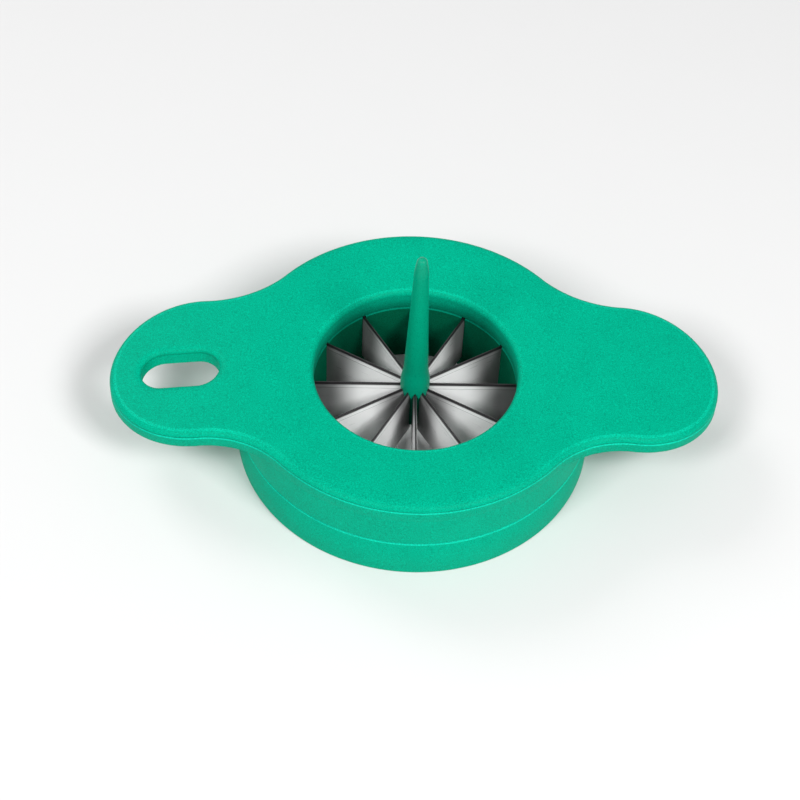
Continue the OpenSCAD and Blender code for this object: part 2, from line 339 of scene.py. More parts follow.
def rims(faces):
    """The open edges of a sheet, sorted into the outer, mouth and slot loops."""
    left = {e for f in faces for e in f.edges if len(e.link_faces) == 1}
    loops = []
    while left:
        loop, grow = [], [left.pop()]
        while grow:
            edge = grow.pop()
            loop.append(edge)
            beside = {e for v in edge.verts for e in v.link_edges if e in left}
            left -= beside
            grow += beside
        loops.append(loop)

    def reach(loop):
        """How far from the middle a loop goes."""
        return max(v.co.length for e in loop for v in e.verts)

    mouth, slot, outer = sorted(loops, key=reach)
    return outer, mouth, slot


def draw_on(bm, edges, place, tone=0):
    """Extrudes a loop of edges and puts each new vertex where place says."""
    made = bmesh.ops.extrude_edge_only(bm, edges=edges)["geom"]
    for v in (g for g in made if isinstance(g, bmesh.types.BMVert)):
        v.co = place(v.co)
    for f in (g for g in made if isinstance(g, bmesh.types.BMFace)):
        f.material_index = tone
    return [g for g in made if isinstance(g, bmesh.types.BMEdge)]


def level(z):
    """A place straight above or below, at height z."""
    return lambda co: Vector((co.x, co.y, z))


def round_to(radius, z):
    """A place at that radius and height, in the same direction."""
    def place(co):
        flat = Vector((co.x, co.y)).normalized() * radius
        return Vector((flat.x, flat.y, z))
    return place


def step_out(plan, depth, z):
    """A place that lies depth inside the outline, at height z."""
    def place(co):
        way, now = plan.inward(co)
        flat = Vector((co.x, co.y)) + way * (depth - now)
        return Vector((flat.x, flat.y, z))
    return place


def slot_to(plan, grow, drop):
    """A place beside the slot, grown by grow, drop lower than before."""
    s = plan.s
    half, w = (s.slot_l - s.slot_w) / 2, s.slot_w / 2

    def place(co):
        x, y = co.x + s.slot_x, co.y + s.slot_fore
        core = Vector((max(-half, min(half, x)), 0))
        flat = core + (Vector((x, y)) - core).normalized() * (w + grow)
        return Vector((flat.x - s.slot_x, flat.y - s.slot_fore, co.z - drop))
    return place


def droop(bm, plan, above):
    """Lets the lobes droop, in all that lies above that height."""
    for v in bm.verts:
        if v.co.z > above:
            v.co.z -= plan.fall(v.co.x)


# Shapes that the other pieces share

def turned(points, steps, closed=True):
    """A profile of radius and height, spun round the upright axis."""
    bm = bmesh.new()
    verts = [bm.verts.new((r, 0, z)) for r, z in points]
    for a, b in zip(verts, verts[1:] + (verts[:1] if closed else [])):
        bm.edges.new((a, b))
    bmesh.ops.spin(bm, geom=bm.verts[:] + bm.edges[:], cent=(0, 0, 0), axis=(0, 0, 1),
                   angle=2 * math.pi, steps=steps, use_merge=True, use_duplicate=False)
    bmesh.ops.remove_doubles(bm, verts=bm.verts[:], dist=NEAR)
    return bm


def shares(steps, first=0):
    """Even shares of one, from first / steps up to one."""
    return [k / steps for k in range(first, steps + 1)]


def upright_box(bm, inner, outer, width, low, high):
    """A box along the X axis, from one radius to another."""
    made = bmesh.ops.create_cube(bm, size=1.0)["verts"]
    bmesh.ops.scale(bm, verts=made, vec=(outer - inner, width, high - low))
    bmesh.ops.translate(bm, verts=made, vec=((inner + outer) / 2, 0, (low + high) / 2))
    return made


def turn(bm, verts, k, count):
    """Turns vertices to the place of blade k among count blades."""
    bmesh.ops.rotate(bm, verts=verts, cent=(0, 0, 0),
                     matrix=Matrix.Rotation(2 * math.pi * k / count, 3, "Z"))


def slit_boxes(count, inner, outer, width, low, high):
    """Upright boxes in a star, one for each blade."""
    bm = bmesh.new()
    for k in range(count):
        turn(bm, upright_box(bm, inner, outer, width, low, high), k, count)
    return bm


def cut_slits(bm, cutters):
    """Takes the cutters away from the mesh and returns the new mesh."""
    whole = bpy.data.meshes.new("whole")
    bm.to_mesh(whole)
    bm.free()
    holes = bpy.data.meshes.new("holes")
    cutters.to_mesh(holes)
    cutters.free()
    a = bpy.data.objects.new("whole", whole)
    b = bpy.data.objects.new("holes", holes)
    for o in (a, b):
        bpy.context.scene.collection.objects.link(o)
    mod = a.modifiers.new("slits", "BOOLEAN")
    mod.operation, mod.solver, mod.object = "DIFFERENCE", "EXACT", b
    made = bpy.data.meshes.new_from_object(a.evaluated_get(bpy.context.evaluated_depsgraph_get()))
    out = bmesh.new()
    out.from_mesh(made)
    for o in (a, b):
        bpy.data.objects.remove(o)
    for m in (whole, holes, made):
        bpy.data.meshes.remove(m)
    return out


# Finishing

def smooth(bm, crease=CREASE):
    """Shades the mesh smooth, with its real corners kept sharp."""
    bmesh.ops.recalc_face_normals(bm, faces=bm.faces[:])
    for f in bm.faces:
        f.smooth = True
    for e in bm.edges:
        if len(e.link_faces) == 2 and e.calc_face_angle(0.0) > crease:
            e.smooth = False


def tint(bm, tone, chosen):
    """Gives a tone to the faces whose middle has a chosen radius and height."""
    for f in bm.faces:
        middle = f.calc_center_median()
        if chosen(math.hypot(middle.x, middle.y), middle.z):
            f.material_index = tone


def hand_over(bm, name, materials, node):
    """Makes the finished mesh a piece that stands for its CAD node."""
    mesh = bpy.data.meshes.new(name)
    bm.to_mesh(mesh)
    bm.free()
    for material in materials:
        mesh.materials.append(material)
    piece = bpy.data.objects.new(name, mesh)
    bpy.context.scene.collection.objects.link(piece)
    dress_node(node, materials[0])
    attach(piece, "root")
    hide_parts(node)


def dress_node(node, material):
    """Gives a CAD node its material."""
    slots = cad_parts[node].data.materials
    slots.clear()
    slots.append(material)


# Materials

# Where nearly all values of a noise lie
NOISE = (0.3, 0.7)
LINE_NOISE = (0.25, 0.75)

# The grain's share in the tone beside the mottling, and a mottled patch in specks
FINE_SHARE, PATCH = 0.95, 30

# How the grain changes the roughness, and its dents by mottling and speck width
DULLER, SHINIER = 0.06, 0.05
DENT_STRENGTH, DENT_DEPTH = 1.4, 0.12

# How a blade's painted reflection runs: from and to a radius, with tones by share of the way
REFLECTION_BEHIND = (3 * MM, 13.3 * MM, ((0, 1.0), (0.38, 1.0), (0.82, 0.17), (1, 0.13)))
REFLECTION_BEFORE = (0, 12.5 * MM, ((0, 0.17), (0.24, 0.24), (0.52, 1.0), (1, 1.0)))

# The same painted reflection up a bevel, which starts a little under it
BEVEL_REFLECTION = ((0, 1.0), (0.06, 0.42), (0.15, 0.88), (0.50, 0.80), (0.68, 0.03), (1, 0.01))
BEVEL_START = 1.15

# How far the painted reflection's bands lean with height, and where the front blades end, by
# direction
LEAN = 0.10
FRONT = (-0.3, -0.2)

# The ground lines on a blade: their width, how much finer upwards, and roughness
LINE_W, LINE_FINER = 2.9 * MM, 12
LINE_ROUGH = (0.27, 0.30)

# How far under the top and under the cutting edges the wall's shade starts and ends
SHADE_TOP, SHADE_END = 2 * MM, 1 * MM

# Where the lobes' edge and the mouth's rim go over to the painted highlight
EDGE_HIGHLIGHT_SPAN = (13 * MM, 22 * MM)
RIM_HIGHLIGHT_SPAN = (3 * MM, 14 * MM)

# The floor: where it fades to white, and its tooth's width and darker tone
FADE = (0.12, 0.45)
TOOTH_W, TOOTH_TONE = 11 * MM, 0.99


def node_tree(name):
    """A new material with only its shader and output."""
    mat = bpy.data.materials.new(name)
    mat.use_nodes = True
    tree = mat.node_tree
    tree.nodes.clear()
    out = tree.nodes.new("ShaderNodeOutputMaterial")
    shader = tree.nodes.new("ShaderNodeBsdfPrincipled")
    tree.links.new(shader.outputs["BSDF"], out.inputs["Surface"])
    return mat, tree, shader


def add(tree, kind, **values):
    """Adds a node and sets its inputs and settings by name."""
    node = tree.nodes.new(kind)
    for key, value in values.items():
        if key in node.inputs:
            node.inputs[key].default_value = value
        else:
            setattr(node, key, value)
    return node


def put(tree, value, socket):
    """Leads another node's output, or a plain value, to a socket."""
    if isinstance(value, bpy.types.NodeSocket):
        tree.links.new(value, socket)
    else:
        socket.default_value = value


def place_on(tree):
    """The place on the piece."""
    return add(tree, "ShaderNodeTexCoord").outputs["Object"]


def axes_of(tree, vector):
    """A vector's X, Y and Z."""
    split = add(tree, "ShaderNodeSeparateXYZ")
    tree.links.new(vector, split.inputs[0])
    return split.outputs


def length_of(tree, vector):
    """How long a vector is."""
    node = add(tree, "ShaderNodeVectorMath", operation="LENGTH")
    tree.links.new(vector, node.inputs[0])
    return node.outputs["Value"]


def worked_out(tree, operation, *values):
    """What an operation makes of outputs and plain numbers."""
    node = add(tree, "ShaderNodeMath", operation=operation)
    for value, socket in zip(values, node.inputs):
        put(tree, value, socket)
    return node.outputs[0]


def speckle(tree, place, width, detail=2.0):
    """Even noise whose specks are about width across."""
    noise = add(tree, "ShaderNodeTexNoise", Scale=1 / width, Detail=detail, Roughness=0.55)
    tree.links.new(place, noise.inputs["Vector"])
    return noise.outputs["Fac"]


def spread(tree, value, span, to_low=0.0, to_high=1.0):
    """Maps a value from a span to another, by default from nought to one."""
    node = add(tree, "ShaderNodeMapRange", **{
        "From Min": span[0], "From Max": span[1], "To Min": to_low, "To Max": to_high})
    tree.links.new(value, node.inputs["Value"])
    return node.outputs["Result"]


def bands(tree, value, span, stops):
    """A smooth ramp of grey values over a span of the given value."""
    ramp = tree.nodes.new("ShaderNodeValToRGB")
    ramp.color_ramp.interpolation = "EASE"
    elements = ramp.color_ramp.elements
    while len(elements) < len(stops):
        elements.new(1.0)
    for element, (at, tone) in zip(elements, stops):
        element.position = at
        element.color = (tone, tone, tone, 1)
    tree.links.new(spread(tree, value, span), ramp.inputs["Fac"])
    return ramp.outputs["Color"]


def mixed(tree, factor, first, second):
    """The first colour where the factor is nought, the second where it is one."""
    mix = add(tree, "ShaderNodeMix", data_type="RGBA")
    put(tree, factor, mix.inputs["Factor"])
    mix.inputs["A"].default_value = [*first, 1]
    mix.inputs["B"].default_value = [*second, 1]
    return mix.outputs["Result"]


def moulded(name, colour, grain, roughness=0.5, mottle=0.28, gloss=0.03, blend=None):
    """Matte moulded plastic: a fine even grain and a faint mottling. A blend is a
    second colour, and the axis and the span over which it takes over; the greens use it
    for painted highlights and painted shade."""
    mat, tree, shader = node_tree(name)
    where = place_on(tree)
    fine = speckle(tree, where, grain, 1.0)
    broad = spread(tree, speckle(tree, where, grain * PATCH), NOISE, 0.0, 1 - FINE_SHARE)
    uneven = worked_out(tree, "MULTIPLY_ADD", fine, FINE_SHARE, broad)
    second, factor = colour, 0.0
    if blend:
        second, axis, span = blend
        factor = spread(tree, worked_out(tree, "ABSOLUTE", axes_of(tree, where)[axis]), span)
    tone = add(tree, "ShaderNodeVectorMath", operation="SCALE")
    tree.links.new(mixed(tree, factor, colour, second), tone.inputs[0])
    tree.links.new(spread(tree, uneven, NOISE, 1 - mottle, 1 + mottle), tone.inputs["Scale"])
    tree.links.new(tone.outputs[0], shader.inputs["Base Color"])
    tree.links.new(spread(tree, fine, NOISE, roughness - SHINIER, roughness + DULLER),
                   shader.inputs["Roughness"])
    dent = add(tree, "ShaderNodeBump", Strength=DENT_STRENGTH * mottle,
               Distance=DENT_DEPTH * grain)
    tree.links.new(fine, dent.inputs["Height"])
    tree.links.new(dent.outputs["Normal"], shader.inputs["Normal"])
    shader.inputs["IOR"].default_value = 1.46
    shader.inputs["Specular IOR Level"].default_value = gloss
    return mat


def green(name, kind):
    """The cutter's green, for one kind of place on it; some kinds are painted shade and some a
    painted highlight.
    """
    s = sizes("finish")
    wall_shade_span = (sizes("cover").body_h - SHADE_TOP, sizes("blades").edge_z - SHADE_END)
    looks = {
        "outer": dict(colour=s.green),
        # Painted highlight on the lobes' edge, growing towards the lobes
        "edge": dict(colour=s.green, mottle=0.34, blend=(s.edge, "X", EDGE_HIGHLIGHT_SPAN)),
        # Painted highlight on the mouth's rim, growing towards its front and back
        "rim": dict(colour=s.green, mottle=0.34, blend=(s.edge, "Y", RIM_HIGHLIGHT_SPAN)),
        # Painted shade: the wall darkens downwards into the mouth
        "wall": dict(colour=s.wall, roughness=0.6, blend=(s.mouth_shade_green, "Z", wall_shade_span)),
        # Painted shade inside the mouth
        "inner": dict(colour=s.mouth_shade_green, roughness=0.6),
        "post": dict(colour=s.guide_green, roughness=0.32, mottle=0.12, gloss=0.14),
        # Painted shade in the seams and under the bulb
        "painted_shade": dict(colour=s.painted_shade),
        # Painted highlight under a seam
        "lip": dict(colour=s.lip),
        # Painted line: shade on the cover, a highlight on the carrier
        "shade_and_highlight_line": dict(colour=s.shade_and_highlight_line),
    }
    return moulded(name, grain=s.grain, **looks[kind])


def greens(piece, kinds):
    """A piece's greens, one for each kind of place, in that order."""
    return [green(piece + "_" + kind, kind) for kind in kinds]


def steel(name, light, dark, edge_z, bevel_h):
    """Bright ground strip with painted reflections in broad bands: bright by the hub on
    the blades behind it, dark by the hub on those before it, and on a bevel a fine dark
    line under it and a dark cutting edge."""
    mat, tree, shader = node_tree(name)
    where = place_on(tree)
    at = axes_of(tree, where)
    flat = add(tree, "ShaderNodeCombineXYZ")
    for axis in "XY":
        tree.links.new(at[axis], flat.inputs[axis])
    reach = length_of(tree, flat.outputs[0])
    slant = worked_out(tree, "MULTIPLY_ADD", at["Z"], LEAN, reach)
    side = worked_out(tree, "DIVIDE", at["Y"], reach)
    face = add(tree, "ShaderNodeMix", data_type="FLOAT")
    tree.links.new(spread(tree, side, FRONT), face.inputs["Factor"])
    tree.links.new(bands(tree, reach, REFLECTION_BEFORE[:2], REFLECTION_BEFORE[2]), face.inputs["A"])
    tree.links.new(bands(tree, slant, REFLECTION_BEHIND[:2], REFLECTION_BEHIND[2]), face.inputs["B"])
    bevel = bands(tree, at["Z"], (edge_z - bevel_h * BEVEL_START, edge_z), BEVEL_REFLECTION)
    tone = worked_out(tree, "MULTIPLY", face.outputs["Result"], bevel)
    tree.links.new(mixed(tree, tone, dark, light), shader.inputs["Base Color"])
    shader.inputs["Metallic"].default_value = 0.08
    streak = add(tree, "ShaderNodeMapping", Scale=(1, 1, LINE_FINER))
    tree.links.new(where, streak.inputs["Vector"])
    lines = speckle(tree, streak.outputs["Vector"], LINE_W, 3.0)
    tree.links.new(spread(tree, lines, LINE_NOISE, *LINE_ROUGH), shader.inputs["Roughness"])
    return mat


def seen_rays(tree):
    """One for the rays that show the background: camera, glossy and transmission."""
    rays = add(tree, "ShaderNodeLightPath").outputs
    seen = rays["Is Camera Ray"]
    for kind in ("Is Glossy Ray", "Is Transmission Ray"):
        seen = worked_out(tree, "MAXIMUM", seen, rays[kind])
    return seen


def floor_paint(name, colour):
    """Plain pale paint with the faintest tooth, which fades to white far away."""
    mat, tree, shader = node_tree(name)
    where = place_on(tree)
    tooth = speckle(tree, where, TOOTH_W)
    dimmer = [part * TOOTH_TONE for part in colour]
    tree.links.new(mixed(tree, tooth, dimmer, colour), shader.inputs["Base Color"])
    shader.inputs["Roughness"].default_value = 0.85
    far = spread(tree, length_of(tree, where), FADE)
    white = add(tree, "ShaderNodeEmission").outputs[0]
    fade = add(tree, "ShaderNodeMixShader")
    tree.links.new(worked_out(tree, "MULTIPLY", far, seen_rays(tree)), fade.inputs["Fac"])
    tree.links.new(shader.outputs["BSDF"], fade.inputs[1])
    tree.links.new(white, fade.inputs[2])
    tree.links.new(fade.outputs[0], tree.nodes["Material Output"].inputs["Surface"])
    return mat


# Pieces

class CUTTER_OT_cover(bpy.types.Operator):
    """Makes the cover with its rounded edge, mouth, skirt and hanging slot"""
    bl_idname = "cutter.cover"
    bl_label = "Cover"

    # How the dish steepens towards the mouth
    dish_power = 1.5

    # Rows of the rounded edge and of the mouth's rim that get a painted highlight
    highlight_edge_rows = (8, 9, 10)
    highlight_rim_rows = (1, 2, 3)

    def execute(self, context):
        plan, s, slot_rim = Plan(), sizes("cover"), sizes("outline").slot_rim
        kinds = ("outer", "painted_shade", "wall", "edge", "rim", "shade_and_highlight_line")
        tone = kinds.index
        rise = s.body_h - s.seam_z - s.edge_lip
        soft, under = s.seam_soft, s.seam_z - s.under_t
        inner = s.mouth_r + s.rim_r
        bm = bmesh.new()
        wires = outline_wire(bm, plan, s.edge_w) + circle_wire(bm, inner)
        sheet = fill(bm, wires + slot_wire(bm, plan, slot_rim), (TOP_GRID, TOP_GRID))
        outer, mouth, slot = rims(sheet)
        for v in {v for f in sheet for v in f.verts}:
            out = max(0.0, math.hypot(v.co.x, v.co.y) - inner)
            v.co.z = s.body_h - s.dish * max(0.0, 1 - out / s.dish_w) ** self.dish_power
        # Painted shade on the edge's lowest row, and a painted highlight on its rows near the top
        tones = {0: tone("shade_and_highlight_line"), **{row: tone("edge") for row in self.highlight_edge_rows}}
        for k in reversed(range(EDGE_STEPS)):
            t = math.radians(90 * k / EDGE_STEPS)
            row = step_out(plan, s.edge_w * (1 - math.cos(t)), s.body_h - rise * (1 - math.sin(t)))
            outer = draw_on(bm, outer, row, tones.get(k, 0))
        # Painted shade on the cover's underside by the seam
        for depth in (s.edge_lip, soft):
            outer = draw_on(bm, outer, step_out(plan, depth, s.seam_z), tone("painted_shade"))
        # The rim's upper rows get a painted highlight
        for k in range(1, RIM_STEPS + 1):
            t = math.radians(90 * k / RIM_STEPS)
            row = round_to(s.mouth_r + s.rim_r * (1 - math.sin(t)),
                           s.body_h - s.dish - s.rim_r * (1 - math.cos(t)))
            mouth = draw_on(bm, mouth, row, tone("rim") if k in self.highlight_rim_rows else 0)
        edge, plug = sizes("blades").edge_z + s.seam_gap, s.skirt_r + s.plug_w
        # The wall down into the mouth is painted darker, as shade
        for r, z in ((s.mouth_r, edge + soft), (s.mouth_r + CORNER * soft, edge + CORNER * soft),
                     (s.mouth_r + soft, edge), (s.skirt_r, edge), (s.skirt_r, under),
                     (plug, under), (plug, s.seam_z)):
            mouth = draw_on(bm, mouth, round_to(r, z), tone("wall"))
        deep = min(slot_rim, s.body_h - s.seam_z - (1 + CORNER) * soft)
        for k in range(1, SLOT_RIM_STEPS + 1):
            a, b = (math.radians(90 * n / SLOT_RIM_STEPS) for n in (k - 1, k))
            row = slot_to(plan, slot_rim * (1 - math.sin(b)), deep * (math.cos(a) - math.cos(b)))
            slot = draw_on(bm, slot, row)
        slot = draw_on(bm, slot, level(s.seam_z + soft))
        slot = draw_on(bm, slot, slot_to(plan, CORNER * soft, soft))
        fill(bm, outer + mouth + slot, (SEAM_GRID, 0))
        droop(bm, plan, s.seam_z - soft)
        smooth(bm)
        hand_over(bm, "cover", greens("cover", kinds), "top_cover")
        return {"FINISHED"}


class CUTTER_OT_shell(bpy.types.Operator):
    """Makes the lower shell: the lobes' underside and the round collar"""
    bl_idname = "cutter.shell"
    bl_label = "Shell"

    # How far the flange's edge stays outside the collar, as a share of its radius
    outside = 1.0002

    def clear(self, plan, depth, z):
        """A place inside the outline that stays outside the collar."""
        step = step_out(plan, depth, z)

        def place(co):
            new = step(co)
            short = self.outside * sizes("cover").collar_r / math.hypot(new.x, new.y)
            return Vector((new.x * short, new.y * short, new.z)) if short > 1 else new
        return place

    def execute(self, context):
        plan, s = Plan(), sizes("cover")
        kinds = ("outer", "lip", "painted_shade")
        top, under, soft = s.seam_z - s.seam_gap, s.seam_z - s.under_t, s.seam_soft
        bore, hole = s.collar_r - s.collar_t, s.skirt_r + s.plug_w + s.wall_fit
        bm = bmesh.new()
        wires = outline_wire(bm, plan, soft) + circle_wire(bm, hole)
        sheet = fill(bm, wires + slot_wire(bm, plan, CORNER * soft), (SEAM_GRID, 0))
        outer, ring, slot = rims(sheet)
        for v in {v for f in sheet for v in f.verts}:
            v.co.z = top
        # Over the seam: painted shade on the chamfer's inner part, a painted highlight on its outer
        # part
        for depth, z, kind in ((GROOVE_IN * soft, top - GROOVE_DOWN * soft, "painted_shade"),
                               (0, top - soft, "lip"), (0, under + s.under_r, "outer")):
            outer = draw_on(bm, outer, step_out(plan, depth, z), kinds.index(kind))
        for depth, z in ((CORNER * s.under_r, under + CORNER * s.under_r), (s.under_r, under)):
            outer = draw_on(bm, outer, self.clear(plan, depth, z))
        for grow, drop in ((0, soft), (0, s.under_t - s.seam_gap - 2 * soft), (soft, soft)):
            slot = draw_on(bm, slot, slot_to(plan, grow, drop))
        # Painted shade on the collar just above the lower seam
        for r, z, kind in ((hole, under, "outer"), (bore, under, "outer"),
                           (bore, s.base_h + soft, "outer"), (bore + soft, s.base_h, "outer"),
                           (s.collar_r - soft, s.base_h, "outer"),
                           (s.collar_r - COLLAR_IN * soft, s.base_h + COLLAR_IN * soft,
                            "painted_shade"),
                           (s.collar_r, s.base_h + soft, "painted_shade"), (s.collar_r, under, "outer")):
            ring = draw_on(bm, ring, round_to(r, z), kinds.index(kind))
        fill(bm, outer + ring + slot, (UNDER_GRID, 0))
        droop(bm, plan, under - soft)
        smooth(bm)
        hand_over(bm, "shell", greens("shell", kinds), "handle_shell")
        return {"FINISHED"}


class CUTTER_OT_base(bpy.types.Operator):
    """Makes the base ring with its floor, spigot and inner lip"""
    bl_idname = "cutter.base"
    bl_label = "Base ring"

    def execute(self, context):
        s = sizes("cover")
        kinds = ("outer", "lip", "inner")
        wall, high, soft = s.base_h - s.seam_gap, BASE_TOP.z, s.seam_soft
        spigot, lip = s.collar_r - s.collar_t - s.wall_fit, s.skirt_r + s.wall_fit
        mid, near = CORNER * soft, PAST_CORNER * soft
        bm = turned([
            (s.mouth_r + soft, 0), (s.collar_r - s.foot_c, 0),
            *((s.collar_r - inward * s.foot_c, up * s.foot_c) for inward, up in FOOT_CORNER),
            (s.collar_r, s.foot_c), (s.collar_r, wall - soft), (s.collar_r - mid, wall - mid),
            (s.collar_r - soft, wall), (spigot, wall), (spigot, high - soft), (spigot - soft, high),
            (spigot - s.spigot_t + soft, high), (spigot - s.spigot_t, high - soft),
            (spigot - s.spigot_t, s.floor_t), (lip + s.lip_t, s.floor_t),
            (lip + s.lip_t, s.floor_t + s.lip_h), (lip, s.floor_t + s.lip_h), (lip, s.floor_t),
            (s.mouth_r, s.floor_t), (s.mouth_r, soft), (s.mouth_r + mid, mid)], ROUND_STEPS)
        smooth(bm)
        # Painted highlight on the top outer edge under the seam, painted shade on the floor inside
        # the mouth
        tint(bm, kinds.index("lip"), lambda r, z: z > wall - near and r > s.collar_r - near)
        tint(bm, kinds.index("inner"), lambda r, z: r < s.mouth_r + near)
        hand_over(bm, "base", greens("base", kinds), "base_ring")
        return {"FINISHED"}


class CUTTER_OT_carrier(bpy.types.Operator):
    """Makes the ring inside the mouth that holds the blades' outer ends"""
    bl_idname = "cutter.carrier"
    bl_label = "Blade carrier"

    def execute(self, context):
        s, b = sizes("cover"), sizes("blades")
        # The carrier is painted dark as shade in the mouth, with a painted highlight along its top
        # inner edge
        kinds = ("inner", "shade_and_highlight_line")
        low, high, soft = s.floor_t, b.edge_z, s.seam_soft
        mid, near = CORNER * soft, PAST_CORNER * soft
        bm = turned([(s.mouth_r, low), (s.skirt_r, low), (s.skirt_r, high),
                     (s.mouth_r + soft, high), (s.mouth_r + mid, high - mid),
                     (s.mouth_r, high - soft)], ROUND_STEPS)
        bm = cut_slits(bm, slit_boxes(b.blade_n, s.mouth_r - OVERCUT, b.blade_out + b.slot_fit,
                                      b.blade_t + 2 * b.slot_fit, b.blade_low, high + OVERCUT))
        smooth(bm)
        tint(bm, kinds.index("shade_and_highlight_line"), lambda r, z: z > high - near and r < s.mouth_r + near)
        hand_over(bm, "carrier", greens("carrier", kinds), "blade_carrier")
        return {"FINISHED"}


class CUTTER_OT_guide(bpy.types.Operator):
    """Makes the pointed guide, its bulb with pointed fingers and the slit column"""
    bl_idname = "cutter.guide"
    bl_label = "Guide"

    # The hollow under the bulb: its share of the width, and its depth
    hollow_share, hollow_h = 0.62, 0.05 * MM

    def outline(self, b):
        """Radius and height down the post, from its tip to the bulb's lower edge."""
        tip_z, flare_z = GUIDE_TOP.z - b.tip_r, b.edge_z + b.bulb_h
        shaft_z, point_z = flare_z + b.flare_h, tip_z - b.point_h
        points = [(b.tip_r * math.sin(t), tip_z + b.tip_r * math.cos(t))
                  for t in map(math.radians, range(0, TIP_END + 1, TIP_STEP))]
        for t in shares(POINT_STEPS):
            swell = (b.point_r - b.tip_r) * math.sin(t * math.pi / 2)
            points.append((b.tip_r + swell, tip_z - b.point_h * t))
        for t in shares(SHAFT_STEPS, 1):
            points.append((b.point_r + (b.guide_r - b.point_r) * t,
                           point_z + (shaft_z - point_z) * t))
        for t in shares(FLARE_STEPS, 1):
            ease = t * t * (3 - 2 * t)
            points.append((b.guide_r + (b.bulb_r - b.guide_r) * ease, shaft_z - b.flare_h * t))
        return points + [(b.bulb_r, b.edge_z + b.bulb_gap)]

    def finger(self, b, inward, drop):
        """A place lower and further in, the more so the nearer it is to a blade."""
        def place(co):
            part = math.atan2(co.y, co.x) / (2 * math.pi) * b.blade_n
            ridge = 1 - abs(1 - 2 * (part % 1.0))
            r, new = math.hypot(co.x, co.y), b.bulb_r - inward * ridge
            return Vector((co.x / r * new, co.y / r * new, co.z - drop * ridge))
        return place

    def column(self, b, steps):
        """The slit column under the bulb, as a mesh."""
        foot, head = GUIDE_LOW.z, b.edge_z + b.column_up
        bm = turned([(0.0, foot), (b.column_r - b.column_c, foot), (b.column_r, foot + b.column_c),
                     (b.column_r, head), (0.0, head)], steps)
        bm = cut_slits(bm, slit_boxes(b.blade_n, b.core_r, b.bulb_r + OVERCUT,
                                      b.blade_t + 2 * b.grip_fit, foot - OVERCUT,
                                      b.edge_z + b.bulb_gap))
        mesh = bpy.data.meshes.new("column")
        bm.to_mesh(mesh)
        bm.free()
        return mesh

    def execute(self, context):
        b = sizes("blades")
        kinds = ("post", "painted_shade")
        steps = STEPS_PER_BLADE * b.blade_n
        bm = turned(self.outline(b), steps, closed=False)
        rim = [e for e in bm.edges if e.is_boundary]
        for t in shares(FINGER_STEPS, 1):
            rim = draw_on(bm, rim, self.finger(b, t * t * b.finger_in, b.finger_h / FINGER_STEPS))
        rim = draw_on(bm, rim, lambda co: Vector((co.x * self.hollow_share, co.y * self.hollow_share,
                                                  co.z + self.hollow_h)))
        bmesh.ops.holes_fill(bm, edges=rim, sides=0)
        above = set(bm.faces)
        column = self.column(b, steps)
        bm.from_mesh(column)
        bpy.data.meshes.remove(column)
        # The column under the bulb is painted shade
        for f in bm.faces:
            f.material_index = kinds.index("post" if f in above else "painted_shade")
        smooth(bm)
        hand_over(bm, "guide", greens("guide", kinds), "centre_guide")
        return {"FINISHED"}


class CUTTER_OT_blades(bpy.types.Operator):
    """Makes the upright blades with their bevelled cutting edges"""
    bl_idname = "cutter.blades"
    bl_label = "Blades"

    def execute(self, context):
        b, f = sizes("blades"), sizes("finish")
        # The blades' tones are painted reflections
        metal = steel("blade_steel", f.steel_reflection_light, f.steel_reflection_dark, b.edge_z, b.bevel_h)
        for k in range(b.blade_n):
            bm = bmesh.new()
            upright_box(bm, b.blade_in, b.blade_out, b.blade_t, b.blade_low, b.edge_z)
            bmesh.ops.bisect_plane(bm, geom=bm.verts[:] + bm.edges[:] + bm.faces[:], dist=NEAR,
                                   plane_co=(0, 0, b.edge_z - b.bevel_h), plane_no=(0, 0, 1))
            for v in bm.verts:
                if v.co.z > b.edge_z - b.bevel_h / 2:
                    v.co.y = math.copysign(b.edge_t / 2, v.co.y)
            turn(bm, bm.verts[:], k, b.blade_n)
            smooth(bm, BLADE_CREASE)
            hand_over(bm, "blade_plate_%02d" % (k + 1), [metal], "blade_%02d" % (k + 1))
        return {"FINISHED"}


# Each lamp's place, width and power, and the rest of the stage
LAMPS = {"key": ((0.25, -0.30, 0.42), 0.16, 2.15),
         "back": ((-0.32, 0.32, 0.38), 0.24, 0.85),
         "fill": ((-0.25, -0.30, 0.42), 0.16, 1.5)}
LAMP_AIM = (0, 0, 0.01)
ROOM_LIGHT = 0.32
FLOOR_SIZE = 2.5
SENSOR = 36.0
CLIP = (0.01, 20.0)


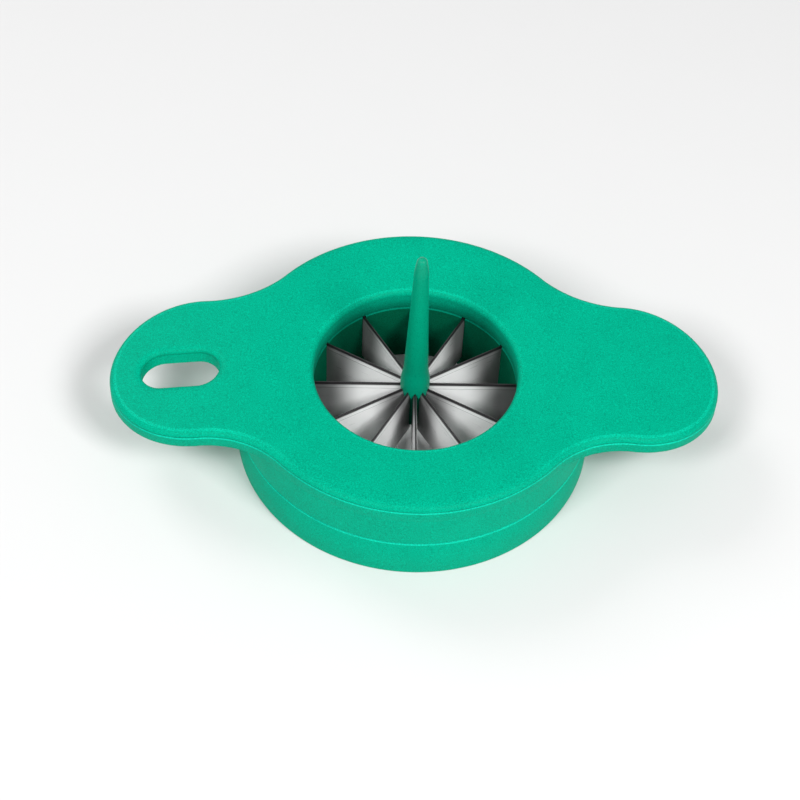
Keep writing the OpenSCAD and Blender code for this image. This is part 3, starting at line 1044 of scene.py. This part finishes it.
class CUTTER_OT_stage(bpy.types.Operator):
    """Makes the plain floor, the soft studio light and the camera"""
    bl_idname = "cutter.stage"
    bl_label = "Stage"

    def execute(self, context):
        scene = context.scene
        self.ground(scene)
        for name, (spot, size, power) in LAMPS.items():
            self.lamp(scene, name, spot, size, power)
        scene.world = self.studio()
        scene.camera = self.camera(scene)
        scene.view_settings.view_transform = "Standard"
        return {"FINISHED"}

    def ground(self, scene):
        """The floor that the cutter stands on."""
        bm = bmesh.new()
        bmesh.ops.create_grid(bm, x_segments=1, y_segments=1, size=FLOOR_SIZE)
        mesh = bpy.data.meshes.new("floor")
        bm.to_mesh(mesh)
        bm.free()
        mesh.materials.append(floor_paint("floor_paint", sizes("finish").floor))
        ground = bpy.data.objects.new("floor", mesh)
        scene.collection.objects.link(ground)

    def lamp(self, scene, name, spot, size, power):
        """A square soft lamp that points at the mouth."""
        data = bpy.data.lights.new(name, "AREA")
        data.shape, data.size, data.energy = "SQUARE", size, power
        lamp = bpy.data.objects.new(name, data)
        scene.collection.objects.link(lamp)
        lamp.location = spot
        lamp.rotation_euler = (Vector(spot) - Vector(LAMP_AIM)).to_track_quat("Z", "Y").to_euler()

    def studio(self):
        """A plain white world that lights the cutter softly and shows as white."""
        world = bpy.data.worlds.new("studio")
        world.use_nodes = True
        tree = world.node_tree
        sky = tree.nodes["Background"]
        sky.inputs["Color"].default_value = (1, 1, 1, 1)
        light = spread(tree, seen_rays(tree), (0, 1), ROOM_LIGHT, 1.0)
        tree.links.new(light, sky.inputs["Strength"])
        return world

    def camera(self, scene):
        """The camera, where it stood for the photograph."""
        v = sizes("view")
        forward = Vector((0, math.cos(v.lift), -math.sin(v.lift)))
        right = Vector((1, 0, 0))
        up = right.cross(forward)
        across = right * math.cos(v.roll) + up * math.sin(v.roll)
        upright = up * math.cos(v.roll) - right * math.sin(v.roll)
        wide = SENSOR / v.lens
        aim = forward + across * (v.right * wide) - upright * (v.below * wide)
        spot = Vector((0, 0, v.aim_z)) - aim * v.away
        axes = Matrix((across, upright, -forward)).transposed().to_4x4()
        data = bpy.data.cameras.new("camera")
        data.sensor_width, data.lens = SENSOR, v.lens
        data.clip_start, data.clip_end = CLIP
        camera = bpy.data.objects.new("camera", data)
        scene.collection.objects.link(camera)
        camera.matrix_world = Matrix.Rotation(v.turn, 4, "Z") @ Matrix.Translation(spot) @ axes
        return camera


class CUTTER_PT_panel(bpy.types.Panel):
    """Lists the cutter's sizes and its pieces"""
    bl_idname = "CUTTER_PT_panel"
    bl_label = "Scallion Cutter"
    bl_space_type = "VIEW_3D"
    bl_region_type = "UI"
    bl_category = "Cutter"

    def draw(self, context):
        for operator in OPERATORS:
            self.layout.operator(operator.bl_idname)
        for name, kind in GROUPS.items():
            box = self.layout.box()
            box.label(text=kind.__doc__)
            for key in kind.__annotations__:
                box.prop(getattr(context.scene, "cutter_" + name), key)


GROUPS = {"outline": CUTTER_PG_outline, "cover": CUTTER_PG_cover, "blades": CUTTER_PG_blades,
          "finish": CUTTER_PG_finish, "view": CUTTER_PG_view}
OPERATORS = [CUTTER_OT_cover, CUTTER_OT_shell, CUTTER_OT_base, CUTTER_OT_carrier,
             CUTTER_OT_guide, CUTTER_OT_blades, CUTTER_OT_stage]


def register():
    """Registers the classes and hangs the sizes on the scene."""
    for name, kind in GROUPS.items():
        bpy.utils.register_class(kind)
        setattr(bpy.types.Scene, "cutter_" + name, PointerProperty(type=kind))
    for kind in (*OPERATORS, CUTTER_PT_panel):
        bpy.utils.register_class(kind)


def unregister():
    """Takes the sizes and the classes away again."""
    for kind in (CUTTER_PT_panel, *reversed(OPERATORS)):
        bpy.utils.unregister_class(kind)
    for name, kind in GROUPS.items():
        delattr(bpy.types.Scene, "cutter_" + name)
        bpy.utils.unregister_class(kind)


def main():
    """Builds the pieces and the stage."""
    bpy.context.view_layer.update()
    register()
    for kind in OPERATORS:
        group, name = kind.bl_idname.split(".")
        getattr(getattr(bpy.ops, group), name)()


if __name__ == "__main__":
    main()
